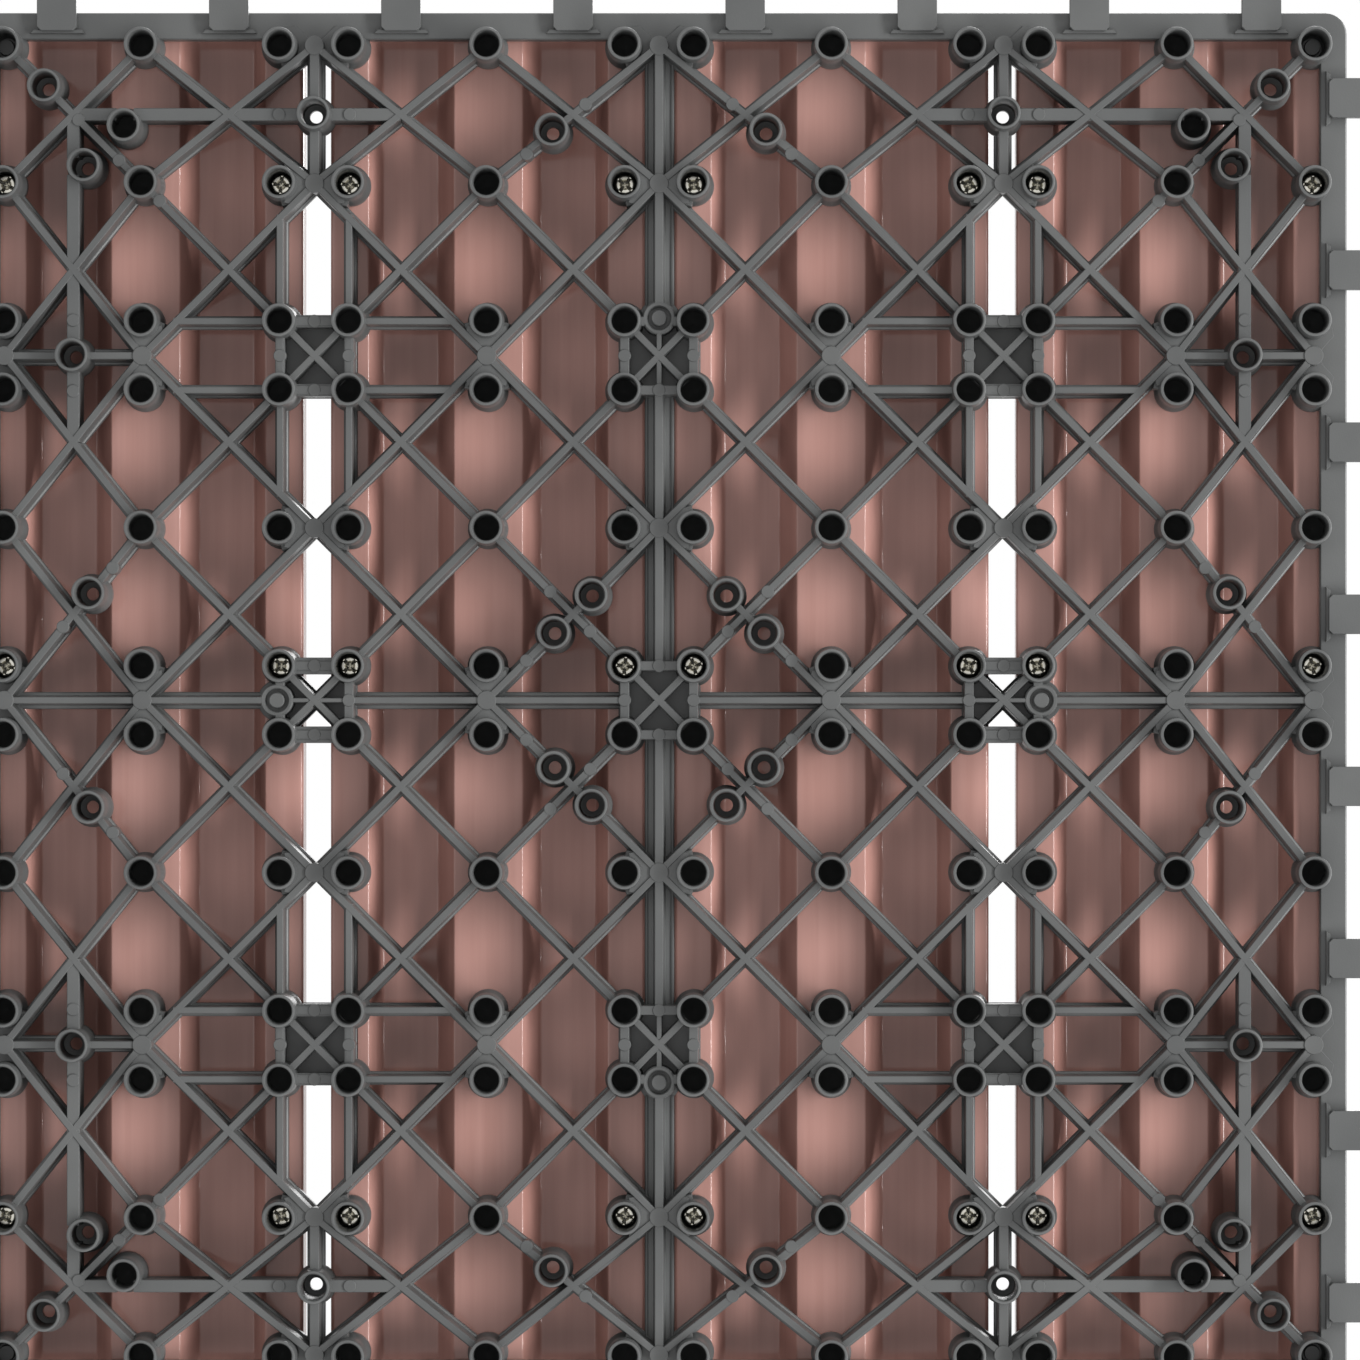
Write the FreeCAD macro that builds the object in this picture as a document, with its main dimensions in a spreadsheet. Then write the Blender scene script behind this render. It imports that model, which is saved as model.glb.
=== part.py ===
import FreeCAD, Part
import math
import os
import Sketcher

# Interlocking deck tile: a moulded grid of ribs on hollow feet, with four boards screwed down on it.
# X runs across the boards, Y along them and Z up. The origin is the tile's centre, at the ground.

Vector = FreeCAD.Vector

# Counts: cells of the grid along a side, each with its loop or peg, and cells from the centre to a seam
CELLS = 8
SEAM_CELLS = 2

SIZES = {
    # Tile
    "tile_size": 300,
    "base_height": 12,
    "corner_radius": 4.6,
    "edge_inset": 7.5,
    # Feet, which are hollow and open at the ground
    "foot_radius": 3.65,
    "foot_bore_radius": 2.8,
    "round_flats": 8,
    "foot_drop": 4,
    "foot_seam_offset": 7.5,
    "drain_hole_radius": 1.55,
    "crossing_foot_step": 5.8,
    "corner_foot_step": 9,
    "corner_pair_step": 11.3,
    "corner_pair_offset": 2.6,
    # Ribs, of which those on the middle lines stand on wider flanges
    "floor_thickness": 2,
    "rib_width": 1.8,
    "flat_rib_width": 2.8,
    "seam_web_width": 2,
    "seam_flange_width": 5.4,
    "cross_web_width": 1.65,
    "cross_flange_width": 3.8,
    "box_rib_width": 1.1,
    "gusset_recess": 0.5,
    "gusset_thickness": 2,
    "gusset_reach": 6.2,
    "gate_radius": 3.4,
    # Rim
    "rim_width": 5.8,
    "rim_thickness": 4,
    # Loops on two sides and the pegs on the other two that snap into them
    "loop_width": 8.6,
    "loop_thickness": 2.5,
    "loop_root": 4.1,
    "peg_radius": 1.4,
    "peg_length": 2.8,
    "peg_inset": 4.35,
    "peg_clearance": 0.2,
    # Boards
    "board_thickness": 10,
    "board_gap": 5.2,
    "board_end_inset": 1,
    "board_pad_half": 7.5,
    "board_pad_foot": 10.5,
    "board_edge_foot": 23.8,
    "board_edge_pad": 26.2,
    "board_channel_depth": 6.5,
    "board_edge_chamfer": 1,
    "groove_width": 1.5,
    "groove_depth": 0.8,
    "groove_pitch": 5,
    "groove_count": 13,
    # Screws
    "screw_head_radius": 2.4,
    "screw_head_height": 2.2,
    "screw_shank_radius": 1.4,
    "screw_length": 9,
    "screw_clearance": 0.2,
    "pilot_clearance": 0.05,
    "pilot_extra_depth": 0.5,
}

doc = FreeCAD.newDocument("interlocking_deck_tile")
sheet = doc.addObject("Spreadsheet::Sheet", "Sizes")
for row, (alias, value) in enumerate(SIZES.items(), start=1):
    sheet.set(f"A{row}", alias)
    sheet.set(f"B{row}", str(value))
    sheet.setAlias(f"B{row}", alias)
doc.recompute()


def size(alias):
    """A driving dimension, as the sheet holds it."""
    return float(sheet.get(alias))


# Places that follow from the driving dimensions
half_tile = size("tile_size") / 2
pitch = size("tile_size") / CELLS
seam = SEAM_CELLS * pitch
rim_edge = half_tile - size("rim_width")
edge_line = half_tile - size("edge_inset")
last_line = seam + pitch
crossing_line = (last_line + edge_line) / 2
seam_offset = size("foot_seam_offset")
grid_lines = [0, pitch, seam, last_line, edge_line]
foot_lines = [seam_offset, pitch, seam - seam_offset, seam + seam_offset, last_line, edge_line]
rib_face = size("foot_drop")
floor_face = size("base_height") - size("floor_thickness")


def strip(start, end, width):
    """A flat bar from one point to another."""
    side = Vector(start.y - end.y, end.x - start.x, 0).normalize() * (width / 2)
    corners = [start + side, end + side, end - side, start - side]
    return Part.Face(Part.makePolygon(corners + corners[:1]))


def round_outline(x, y, radius):
    """A foot's or small hole's outline, with flats that face the ribs, because it repeats so often."""
    flats = int(size("round_flats"))
    reach = radius / math.cos(math.pi / flats)
    turn = [(corner + 0.5) * 2 * math.pi / flats for corner in range(flats)]
    corners = [Vector(x + reach * math.cos(a), y + reach * math.sin(a), 0) for a in turn]
    return Part.Face(Part.makePolygon(corners + corners[:1]))


def disc(x, y, radius):
    """A true circle."""
    return Part.Face(Part.Wire(Part.makeCircle(radius, Vector(x, y, 0))))


def rectangle(x_low, x_high, y_low, y_high):
    """An upright rectangle."""
    return Part.makePlane(x_high - x_low, y_high - y_low, Vector(x_low, y_low, 0))


def united(faces):
    """Flat faces joined into as few as possible."""
    fused = faces[0].multiFuse(faces[1:])
    return Part.makeShell(fused.Faces).removeSplitter()


def rim_outline():
    """A quarter of the rim, with its rounded outer corner."""
    inner = rim_edge
    radius = size("corner_radius")
    bend = half_tile - radius
    middle = bend + radius / math.sqrt(2)
    corners = [
        Vector(half_tile, bend, 0),
        Vector(half_tile, 0, 0),
        Vector(inner, 0, 0),
        Vector(inner, inner, 0),
        Vector(0, inner, 0),
        Vector(0, half_tile, 0),
        Vector(bend, half_tile, 0),
    ]
    arc = Part.Arc(corners[-1], Vector(middle, middle, 0), corners[0]).toShape()
    return Part.Face(Part.Wire(Part.makePolygon(corners).Edges + [arc]))


def quarter_of(faces):
    """Flat faces joined and trimmed to the quarter of the tile where X and Y are positive."""
    return united(faces).common(rectangle(0, half_tile, 0, half_tile))


def diagonal_strips(width):
    """Both diagonals of every cell of a quarter."""
    strips = []
    for x_low, x_high in zip(grid_lines, grid_lines[1:]):
        for y_low, y_high in zip(grid_lines, grid_lines[1:]):
            strips.append(strip(Vector(x_low, y_low, 0), Vector(x_high, y_high, 0), width))
            strips.append(strip(Vector(x_low, y_high, 0), Vector(x_high, y_low, 0), width))
    return strips


def middle_lines(along_x):
    """The middle rib of a quarter between its boxes, then the short one that runs out to the rim."""
    stretches = [
        (0, seam_offset, seam - seam_offset),
        (0, seam + seam_offset, rim_edge),
        (seam, last_line, rim_edge),
    ]
    if along_x:
        return [(Vector(low, across, 0), Vector(high, across, 0)) for across, low, high in stretches]
    return [(Vector(across, low, 0), Vector(across, high, 0)) for across, low, high in stretches]


def straight_strips(width):
    """The ribs of a quarter that run along X or Y, without the flat ones near the rim."""
    strips = [strip(*line, size("seam_web_width")) for line in middle_lines(False)]
    strips += [strip(*line, size("cross_web_width")) for line in middle_lines(True)]
    near, far = seam - seam_offset, seam + seam_offset
    strips.append(strip(Vector(0, near, 0), Vector(0, far, 0), size("box_rib_width")))
    strips.append(strip(Vector(near, 0, 0), Vector(far, 0, 0), size("box_rib_width")))
    start = pitch + seam_offset
    end = last_line - seam_offset
    for line in (near, far):
        strips.append(strip(Vector(start, line, 0), Vector(end, line, 0), width))
        strips.append(strip(Vector(line, start, 0), Vector(line, end, 0), width))
    return strips


def seam_flanges():
    """The broad flanges on the middle ribs and the short ones, which close the gaps between boards."""
    flanges = [strip(*line, size("seam_flange_width")) for line in middle_lines(False)]
    return flanges + [strip(*line, size("cross_flange_width")) for line in middle_lines(True)]


def flat_ribs():
    """The broad ribs of a quarter that join the last crossings, next to the rim."""
    width = size("flat_rib_width")
    start = (pitch + seam) / 2
    return [
        strip(Vector(start, crossing_line, 0), Vector(crossing_line, crossing_line, 0), width),
        strip(Vector(crossing_line, start, 0), Vector(crossing_line, crossing_line, 0), width),
    ]


def box_walls(width):
    """The walls that close a square box between the four feet at each corner of a module."""
    walls = []
    for x in (0, seam):
        for y in (0, seam):
            for side in (-seam_offset, seam_offset):
                ends = (-seam_offset, seam_offset)
                walls.append(strip(*[Vector(x + end, y + side, 0) for end in ends], width))
                walls.append(strip(*[Vector(x + side, y + end, 0) for end in ends], width))
    return walls


def foot_centres():
    """The feet of a quarter: the regular ones, then those on the crossings and near the corner."""
    regular = [(x, y) for x in foot_lines for y in foot_lines]
    step = size("crossing_foot_step")
    first = pitch / 2
    inner = step / math.sqrt(2)
    slope = math.atan2(edge_line - last_line, pitch)
    outer_x = first + step * math.cos(slope)
    outer_y = crossing_line - step * math.sin(slope)
    corner = edge_line - size("corner_foot_step")
    near = crossing_line - size("corner_pair_step")
    far = crossing_line - size("corner_pair_offset")
    return {
        "regular": regular,
        "fixing": [(seam, crossing_line), (crossing_line, seam)],
        "drained": [
            (first - inner, first + inner),
            (first + inner, first - inner),
            (outer_x, outer_y),
            (outer_y, outer_x),
            (corner, corner),
            (far, near),
        ],
        "blind": [(near, far)],
    }


feet = foot_centres()


def foot_outlines(radius, fixing):
    """The outline of every foot of the quarter at one radius, with a function for those used for fixing."""
    outlines = []
    for group, centres in feet.items():
        outline = fixing if group == "fixing" else round_outline
        outlines += [outline(x, y, radius) for x, y in centres]
    return outlines


def gusset(x, y, along_x):
    """A bow-tie plate that ties a pair of feet to the node between them."""
    reach = size("gusset_reach")
    plates = []
    for side in (-seam_offset, seam_offset):
        if along_x:
            corners = [Vector(x, y, 0), Vector(x + side, y - reach, 0), Vector(x + side, y + reach, 0)]
        else:
            corners = [Vector(x, y, 0), Vector(x - reach, y + side, 0), Vector(x + reach, y + side, 0)]
        plates.append(Part.Face(Part.makePolygon(corners + corners[:1])))
    return plates


def gussets():
    """The plates of a quarter, one at each node that lies between two feet, up to the rim."""
    plates = []
    for across in (0, seam):
        for along in (pitch, last_line, edge_line):
            plates += gusset(across, along, True)
            plates += gusset(along, across, False)
    return plates


def box_floors():
    """The closed floors of the boxes, of which those on the X axis stay open beside their cross."""
    floors = []
    for x, y in ((0, 0), (0, seam), (seam, seam)):
        x_low, x_high, y_low, y_high = x - seam_offset, x + seam_offset, y - seam_offset, y + seam_offset
        floors.append(rectangle(max(x_low, 0), x_high, max(y_low, 0), y_high))
    for side in (-seam_offset, seam_offset):
        x, y = seam + side, seam_offset
        corners = [Vector(seam, 0, 0), Vector(x, -y, 0), Vector(x, y, 0)]
        floors.append(Part.Face(Part.makePolygon(corners + corners[:1])))
    return floors


def gates():
    """The moulding gates: a round boss beside the middle of four of the boxes."""
    radius = size("gate_radius")
    place = seam + seam_offset
    return [round_outline(place, 0, radius), round_outline(0, place, radius)]


def raised(flat, low, high):
    """A flat outline made solid between two heights."""
    solids = [face.extrude(Vector(0, 0, high - low)) for face in flat.Faces]
    for solid in solids:
        solid.translate(Vector(0, 0, low))
    return solids


def drain_holes():
    """The small holes in the floors of the feet that drain, and the true ones in those for fixing."""
    radius = size("drain_hole_radius")
    holes = [round_outline(x, y, radius) for x, y in feet["drained"]]
    return holes + [disc(x, y, radius) for x, y in feet["fixing"]]


def quarter_solids():
    """A quarter of the lattice: ribs and tubes at full height, then what closes the spaces in between."""
    low, high = rib_face, size("base_height")
    bores = Part.makeCompound(foot_outlines(size("foot_bore_radius"), disc))
    tubes = foot_outlines(size("foot_radius"), round_outline)
    width = size("rib_width")
    ribs = diagonal_strips(width) + box_walls(width) + flat_ribs() + gates() + tubes
    ribs += straight_strips(width)
    web = quarter_of(ribs)
    solids = raised(web.cut(bores), low, high)
    solids += raised(united(tubes).cut(bores), 0, low)
    holes = Part.makeCompound(drain_holes())
    floors = raised(bores.cut(holes), floor_face, high)
    flanges = quarter_of(box_floors() + seam_flanges()).cut(web)
    plates = united(gussets()).common(rectangle(0, rim_edge, 0, rim_edge)).cut(web)
    plate_low = low + size("gusset_recess")
    solids += floors + raised(flanges, floor_face, high)
    solids += raised(rim_outline().cut(web), high - size("rim_thickness"), high)
    return solids + raised(plates, plate_low, plate_low + size("gusset_thickness"))


def whole_of(name, kind, **links):
    """A boolean or compound of objects already in the document."""
    made = doc.addObject(kind, name)
    for link, target in links.items():
        setattr(made, link, target)
    return made


def origin_plane(body, role):
    """One of a body's own origin planes or axes."""
    return next(item for item in body.Origin.OriginFeatures if item.Role == role)


def sketch_on(body, name, role, height="0 mm"):
    """An empty sketch on an origin plane, raised by an expression."""
    sketch = body.newObject("Sketcher::SketchObject", name)
    sketch.AttachmentSupport = [(origin_plane(body, role), "")]
    sketch.MapMode = "FlatFace"
    sketch.setExpression("AttachmentOffset.Base.z", height)
    return sketch


def bind(sketch, kind, value, expression, *geometry):
    """A constraint driven by the sheet."""
    index = sketch.addConstraint(Sketcher.Constraint(kind, *geometry, value))
    sketch.setExpression(f"Constraints[{index}]", expression)


def bound_polygon(sketch, corners):
    """A closed outline whose corners are pairs of a value and its expression, for each direction."""
    first = sketch.GeometryCount
    for (x, y), (next_x, next_y) in zip(corners, corners[1:] + corners[:1]):
        start, end = Vector(x[0], y[0], 0), Vector(next_x[0], next_y[0], 0)
        sketch.addGeometry(Part.LineSegment(start, end))
    for index, (x, y) in enumerate(corners):
        line = first + index
        after = first + (index + 1) % len(corners)
        sketch.addConstraint(Sketcher.Constraint("Coincident", line, 2, after, 1))
        bind(sketch, "DistanceX", x[0], x[1], -1, 1, line, 1)
        bind(sketch, "DistanceY", y[0], y[1], -1, 1, line, 1)


def bound_circle(sketch, x, y, radius):
    """A circle whose place and radius are pairs of a value and its expression."""
    circle = sketch.addGeometry(Part.Circle(Vector(x[0], y[0], 0), Vector(0, 0, 1), radius[0]))
    bind(sketch, "Radius", radius[0], radius[1], circle)
    bind(sketch, "DistanceX", x[0], x[1], -1, 1, circle, 3)
    bind(sketch, "DistanceY", y[0], y[1], -1, 1, circle, 3)


def length(*terms):
    """A sum of sheet dimensions as a pair of its value and its expression. A leading minus subtracts one."""
    value = 0
    words = []
    for term in terms:
        factor = -1 if term.startswith("-") else 1
        alias = term.lstrip("-")
        value += factor * size(alias)
        words.append(f"{factor} * Sizes.{alias}")
    return value, " + ".join(words)


def scaled(factor, pair):
    """A pair multiplied by a number."""
    return factor * pair[0], f"{factor} * ({pair[1]})"


def added(*pairs):
    """The sum of several pairs."""
    return sum(pair[0] for pair in pairs), " + ".join(f"({pair[1]})" for pair in pairs)


HALF = scaled(0.5, length("tile_size"))
PITCH = scaled(1 / CELLS, length("tile_size"))
ROW_START = scaled((1 - CELLS) / 2, PITCH)
RIM_FACE = length("base_height", "-rim_thickness")
FLOOR_FACE = length("base_height", "-floor_thickness")


def row_of(name, turn, draw, low, thickness):
    """Eight equal loops or pegs along one side of the rim, made on the back side and turned to their own."""
    body = doc.addObject("PartDesign::Body", name)
    body.AllowCompound = True
    sketch = sketch_on(body, f"{name}_outline", "XY_Plane", low[1])
    draw(sketch)
    pad = body.newObject("PartDesign::Pad", f"{name}_first")
    pad.Profile = sketch
    pad.setExpression("Length", thickness[1])
    row = body.newObject("PartDesign::LinearPattern", f"{name}_row")
    row.Originals = [pad]
    row.Direction = (origin_plane(body, "X_Axis"), [""])
    row.setExpression("Length", scaled(CELLS - 1, PITCH)[1])
    row.Occurrences = CELLS
    body.Tip = row
    body.Placement = FreeCAD.Placement(Vector(0, 0, 0), FreeCAD.Rotation(Vector(0, 0, 1), turn))
    return body


def draw_loop(sketch):
    """A strap that starts under the rim, with a round end and the hole for a peg."""
    half_width = scaled(0.5, length("loop_width"))
    centre_y = scaled(-1, added(HALF, length("peg_inset")))
    root_y = scaled(-1, added(HALF, length("-loop_root")))
    x_left = ROW_START[0] - half_width[0]
    x_right = ROW_START[0] + half_width[0]
    left = sketch.addGeometry(
        Part.LineSegment(Vector(x_left, root_y[0], 0), Vector(x_left, centre_y[0], 0))
    )
    circle = Part.Circle(Vector(ROW_START[0], centre_y[0], 0), Vector(0, 0, 1), half_width[0])
    end = sketch.addGeometry(Part.ArcOfCircle(circle, math.pi, 2 * math.pi))
    right = sketch.addGeometry(
        Part.LineSegment(Vector(x_right, centre_y[0], 0), Vector(x_right, root_y[0], 0))
    )
    top = sketch.addGeometry(
        Part.LineSegment(Vector(x_right, root_y[0], 0), Vector(x_left, root_y[0], 0))
    )
    sketch.addConstraint(Sketcher.Constraint("Tangent", left, 2, end, 1))
    sketch.addConstraint(Sketcher.Constraint("Tangent", end, 2, right, 1))
    sketch.addConstraint(Sketcher.Constraint("Coincident", right, 2, top, 1))
    sketch.addConstraint(Sketcher.Constraint("Coincident", top, 2, left, 1))
    sketch.addConstraint(Sketcher.Constraint("Vertical", left))
    sketch.addConstraint(Sketcher.Constraint("Horizontal", top))
    bind(sketch, "Radius", half_width[0], half_width[1], end)
    bind(sketch, "DistanceX", ROW_START[0], ROW_START[1], -1, 1, end, 3)
    bind(sketch, "DistanceY", centre_y[0], centre_y[1], -1, 1, end, 3)
    bind(sketch, "DistanceY", root_y[0], root_y[1], -1, 1, top, 1)
    bound_circle(sketch, ROW_START, centre_y, length("peg_radius", "peg_clearance"))


def draw_peg(sketch):
    """A round peg, as far inside the rim's edge as the next tile's loop reaches past its own."""
    bound_circle(sketch, ROW_START, scaled(-1, added(HALF, length("-peg_inset"))), length("peg_radius"))


# Loops on the back and right sides, pegs on the front and left
loop_low = added(RIM_FACE, length("-loop_thickness"))
peg_low = added(RIM_FACE, length("-peg_length"))
joining = [
    row_of("back_loops", 0, draw_loop, loop_low, length("loop_thickness")),
    row_of("right_loops", 90, draw_loop, loop_low, length("loop_thickness")),
    row_of("front_pegs", 180, draw_peg, peg_low, length("peg_length")),
    row_of("left_pegs", 270, draw_peg, peg_low, length("peg_length")),
]


def prism(name, radius, height, low):
    """A small round of eight flats, bound to the sheet."""
    made = doc.addObject("Part::Prism", name)
    made.setExpression("Polygon", "Sizes.round_flats")
    made.setExpression("Circumradius", f"({radius[1]}) / cos(180 deg / Sizes.round_flats)")
    made.setExpression("Height", height[1])
    made.setExpression("Placement.Base.z", low[1])
    made.Placement.Rotation = FreeCAD.Rotation(Vector(0, 0, 1), 180 / size("round_flats"))
    return made


# A screw, with its head's seat at the floor of its foot, and the holes it passes through
head_low = added(FLOOR_FACE, length("-screw_head_height"))
shank_radius = length("screw_shank_radius")
shank_hole = added(shank_radius, length("screw_clearance"))
pilot_hole = added(shank_radius, length("pilot_clearance"))
pilot_depth = length("screw_length", "-floor_thickness", "pilot_extra_depth")
head = prism("screw_head", length("screw_head_radius"), length("screw_head_height"), head_low)
shank = prism("screw_shank", shank_radius, length("screw_length"), FLOOR_FACE)
screw = whole_of("screw", "Part::Fuse", Base=head, Tool=shank)
floor_hole = prism("screw_floor_hole", shank_hole, length("floor_thickness"), FLOOR_FACE)
pilot = prism("screw_pilot_hole", pilot_hole, pilot_depth, length("base_height"))

SCREW_ROWS = [scaled(-3, PITCH), scaled(-1, length("foot_seam_offset")), scaled(3, PITCH)]
BOARD_CENTRES = [scaled(factor, PITCH) for factor in (-3, -1, 1, 3)]


def at_screws(name, source, centres):
    """Copies of an object at the screw places of some boards."""
    copies = []
    reach = added(PITCH, length("-foot_seam_offset"))
    for centre in centres:
        for side in (-1, 1):
            x = added(centre, scaled(side, reach))
            for y in SCREW_ROWS:
                copy = doc.addObject("App::Link", f"{name}_copy_{len(copies) + 1}")
                copy.LinkedObject = source
                copy.LinkTransform = True
                copy.setExpression("Placement.Base.x", x[1])
                copy.setExpression("Placement.Base.y", y[1])
                copies.append(copy)
    return whole_of(name, "Part::Compound", Links=copies)


def lattice():
    """The quarter joined up and mirrored into the other three."""
    pieces = quarter_solids()
    quarter = pieces[0].multiFuse(pieces[1:]).removeSplitter()
    origin = Vector(0, 0, 0)
    half = quarter.fuse(quarter.mirror(origin, Vector(1, 0, 0)))
    return half.fuse(half.mirror(origin, Vector(0, 1, 0)))


# The grid, all one moulding
floor_holes = at_screws("screw_floor_holes", floor_hole, BOARD_CENTRES)
doc.recompute()
base_grid = doc.addObject("Part::Feature", "base_grid")
base_grid.Shape = lattice().multiFuse([row.Shape for row in joining]).cut(floor_holes.Shape)
nodes = [base_grid]
cuts = []


def board_corners():
    """A board's section: a middle pad and two edge pads on the grid, channels between them, a bevelled top."""
    low = length("base_height")
    roof = length("base_height", "board_channel_depth")
    top = length("base_height", "board_thickness")
    shoulder = added(top, length("-board_edge_chamfer"))
    side = added(PITCH, scaled(-0.5, length("board_gap")))
    bevel = added(side, length("-board_edge_chamfer"))
    half = [
        (length("board_pad_half"), low),
        (length("board_pad_foot"), roof),
        (length("board_edge_foot"), roof),
        (length("board_edge_pad"), low),
        (side, low),
        (side, shoulder),
        (bevel, top),
    ]
    return half + [(scaled(-1, x), y) for x, y in reversed(half)]


def cut_grooves(body, name):
    """Grooves along the walking face."""
    width = length("groove_width")
    span = (size("groove_count") - 1) * size("groove_pitch"), "(Sizes.groove_count - 1) * Sizes.groove_pitch"
    top = length("base_height", "board_thickness")
    bed = added(top, length("-groove_depth"))
    start = scaled(-0.5, added(span, width))
    end = added(start, width)
    sketch = sketch_on(body, f"{name}_groove_outline", "XZ_Plane")
    bound_polygon(sketch, [(start, bed), (end, bed), (end, top), (start, top)])
    groove = body.newObject("PartDesign::Pocket", f"{name}_first_groove")
    groove.Profile = sketch
    groove.SideType = "Symmetric"
    groove.setExpression("Length", scaled(2, HALF)[1])
    row = body.newObject("PartDesign::LinearPattern", f"{name}_grooves")
    row.Originals = [groove]
    row.Direction = (origin_plane(body, "X_Axis"), [""])
    row.setExpression("Length", span[1])
    row.setExpression("Occurrences", "Sizes.groove_count")
    body.Tip = row


def add_board(number, centre):
    """One board and its six screws."""
    name = f"board_{number}"
    body = doc.addObject("PartDesign::Body", f"{name}_blank")
    sketch = sketch_on(body, f"{name}_section", "XZ_Plane")
    bound_polygon(sketch, board_corners())
    pad = body.newObject("PartDesign::Pad", f"{name}_length")
    pad.Profile = sketch
    pad.SideType = "Symmetric"
    pad.setExpression("Length", scaled(2, added(HALF, length("-board_end_inset")))[1])
    body.Tip = pad
    cut_grooves(body, name)
    body.setExpression("Placement.Base.x", centre[1])
    holes = at_screws(f"{name}_pilot_holes", pilot, [centre])
    board = whole_of(name, "Part::Cut", Base=body, Tool=holes)
    cuts.append((pad, body))
    cuts.append((body, board))
    return [board, at_screws(f"screws_{name}", screw, [centre])]


for number, centre in enumerate(BOARD_CENTRES, start=1):
    nodes += add_board(number, centre)

doc.recompute()
for item in doc.Objects:
    assert not {"Invalid", "Error"} & set(item.State), item.Name
for whole, less in cuts:
    assert less.Shape.Volume < whole.Shape.Volume, less.Name
os.makedirs("parts", exist_ok=True)
for node in nodes:
    node.Label = node.Name
    assert not node.Shape.isNull() and node.Shape.isValid(), node.Name
    print(node.Label, len(node.Shape.Solids), round(node.Shape.Volume, 1))
for node in nodes:
    node.Shape.exportStep(f"parts/{node.Label}.step")
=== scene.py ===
import math
import random

import bpy
from mathutils import Matrix, Vector

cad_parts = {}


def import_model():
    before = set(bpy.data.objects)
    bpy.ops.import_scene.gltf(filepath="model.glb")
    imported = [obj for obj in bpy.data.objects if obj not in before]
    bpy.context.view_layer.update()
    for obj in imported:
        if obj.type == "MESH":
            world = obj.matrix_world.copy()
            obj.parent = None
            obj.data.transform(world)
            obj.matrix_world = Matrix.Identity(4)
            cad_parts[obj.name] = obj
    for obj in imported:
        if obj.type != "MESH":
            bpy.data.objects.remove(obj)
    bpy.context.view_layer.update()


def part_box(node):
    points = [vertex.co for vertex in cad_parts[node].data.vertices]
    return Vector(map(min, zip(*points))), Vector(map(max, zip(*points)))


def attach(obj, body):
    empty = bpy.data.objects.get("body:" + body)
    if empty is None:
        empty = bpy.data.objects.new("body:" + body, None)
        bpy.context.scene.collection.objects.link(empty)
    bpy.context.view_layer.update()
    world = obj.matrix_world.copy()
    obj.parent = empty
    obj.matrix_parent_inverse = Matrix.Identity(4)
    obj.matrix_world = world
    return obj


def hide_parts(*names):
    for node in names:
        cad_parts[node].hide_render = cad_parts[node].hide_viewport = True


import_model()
random.seed(7)

# All sizes are in millimetres, and become metres where a mesh is made.
MM = 0.001

# Places taken from the frame. The photograph's boards lie a little further apart than the solids.
grid_low, grid_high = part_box("base_grid")
board_low, board_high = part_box("board_3")
screw_low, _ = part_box("screws_board_3")
HALF = -grid_low[0] / MM
BASE_TOP = grid_high[2] / MM
BOARD_TOP = board_high[2] / MM
BOARD_WIDTH = (board_high[0] - board_low[0]) / MM - 0.8
BOARD_LENGTH = (board_high[1] - board_low[1]) / MM
HEAD_FACE = screw_low[2] / MM

# The lattice: its pitch, its lines, and how far the feet stand to each side of a seam
PITCH = HALF / 4
EDGE = HALF - 7.5
CROSSING = (3 * PITCH + EDGE) / 2
SEAM = 7.5
LINES = [0, PITCH, 2 * PITCH, 3 * PITCH, EDGE]
FOOT_LINES = [SEAM, PITCH, 2 * PITCH - SEAM, 2 * PITCH + SEAM, 3 * PITCH, EDGE]
CROSSING_STEP = 5.8
CORNER_STEP = 9
CORNER_PAIR = (3 * PITCH + 3.7, 3 * PITCH + 12.4)

# Heights, upwards from the ground. What meets the boards ends a hair below them.
RIB_FACE = 4
RIM_FACE = 8
FLOOR = 10
GRID_TOP = BASE_TOP - 0.02

# Feet, rim, loops, pegs and boards
FOOT_RADIUS = 3.62
BORE_RADIUS = 2.88
DRAIN_RADIUS = 1.4
RIM_WIDTH = 5.8
RIM_EDGE = HALF - RIM_WIDTH
CORNER_RADIUS = 4.6
LOOP_REACH = 4.35
LOOP_HALF = 4.3
LOOP_HOLE = 1.6
LOOP_ROOT = 4.1
LOOP_THICKNESS = 2.5
LOOPS = 8
PEG_RADIUS = 1.4
PEG_TIP = 5.2
CHANNEL_DEPTH = 6.5
GROOVE_PITCH = 5

# Screws
SCREW_SIDES = 72
HEAD_RADIUS = 2.35
RECESS_REACH = 1.86
SHANK_RADIUS = 1.15
THREAD_LEAD = 0.9


class Pieces:
    """Vertices and faces gathered for one object."""

    def __init__(self):
        self.verts = []
        self.faces = []

    def add(self, verts, faces):
        start = len(self.verts)
        self.verts += verts
        self.faces += [tuple(start + i for i in face) for face in faces]

    def made(self, name, material, slot, replaced, smooth_angle=35):
        mesh = bpy.data.meshes.new(name)
        mesh.from_pydata([Vector(v) * MM for v in self.verts], [], self.faces)
        mesh.validate()
        piece = bpy.data.objects.new(name, mesh)
        bpy.context.collection.objects.link(piece)
        mesh.materials.append(material)
        bpy.context.view_layer.objects.active = piece
        for other in bpy.context.selected_objects:
            other.select_set(False)
        piece.select_set(True)
        bpy.ops.object.shade_smooth_by_angle(angle=math.radians(smooth_angle))
        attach(piece, "root")
        for node in replaced:
            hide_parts(node)
        return piece


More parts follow.
